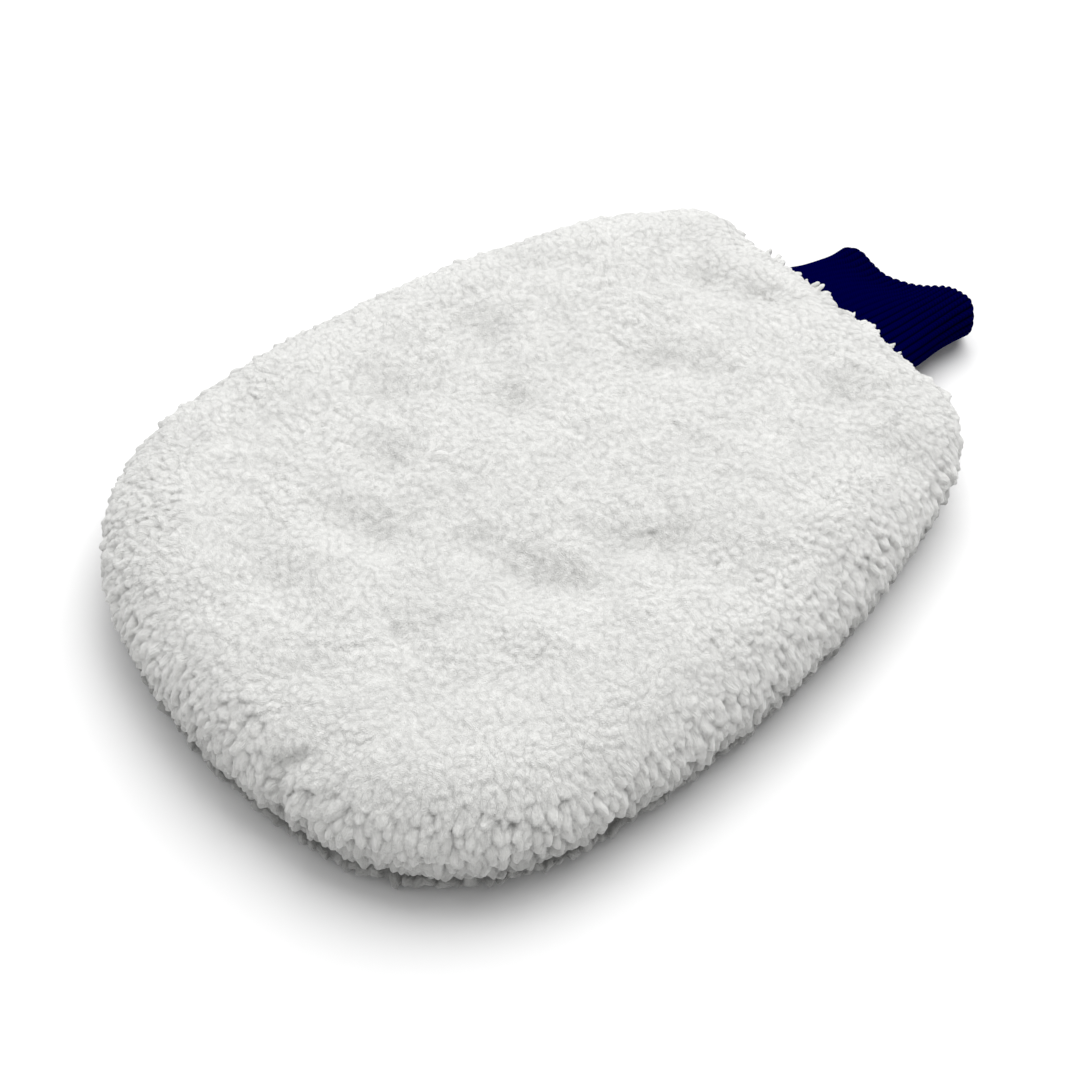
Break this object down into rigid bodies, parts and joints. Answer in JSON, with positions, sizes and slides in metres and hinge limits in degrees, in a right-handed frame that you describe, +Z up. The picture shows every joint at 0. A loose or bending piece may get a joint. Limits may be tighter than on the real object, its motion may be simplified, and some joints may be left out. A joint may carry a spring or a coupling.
{
  "type": "wash mitt",
  "caption": "Flat rounded wash mitt: white long-pile microfibre pouch with a short dark rib-knit cuff, lying flat.",
  "frame": {"origin": "on the surface that the mitt lies on, under the middle of its bounding box", "axes": "+Z up out of the surface, +Y from the fingertip end towards the cuff, +X across the mitt"},
  "size_m": [0.1916, 0.2808, 0.036],
  "materials": {
    "pile": "soft matt plush microfibre pile",
    "lining": "thin matt polyester knit",
    "white_thread": "spun polyester sewing thread",
    "rib_knit": "matt stretch rib knit",
    "navy_thread": "spun polyester sewing thread"
  },
  "bodies": {
    "pouch": {"upper_pile_panel": "pile", "lower_pile_panel": "pile", "upper_lining_panel": "lining", "lower_lining_panel": "lining", "perimeter_needle_thread": "white_thread", "perimeter_looper_thread": "white_thread", "neck_needle_thread": "white_thread", "neck_looper_thread": "white_thread"},
    "cuff": {"rib_cuff": "rib_knit", "cuff_seam_thread": "navy_thread"}
  },
  "joints": [
    {"name": "cuff_fold", "type": "hinge", "parent": "pouch", "child": "cuff", "pos_m": [0, 0.101, 0.0165], "axis": [1, 0, 0], "range_deg": [0, 60], "stiffness_Nm_per_rad": 0.002}
  ]
}
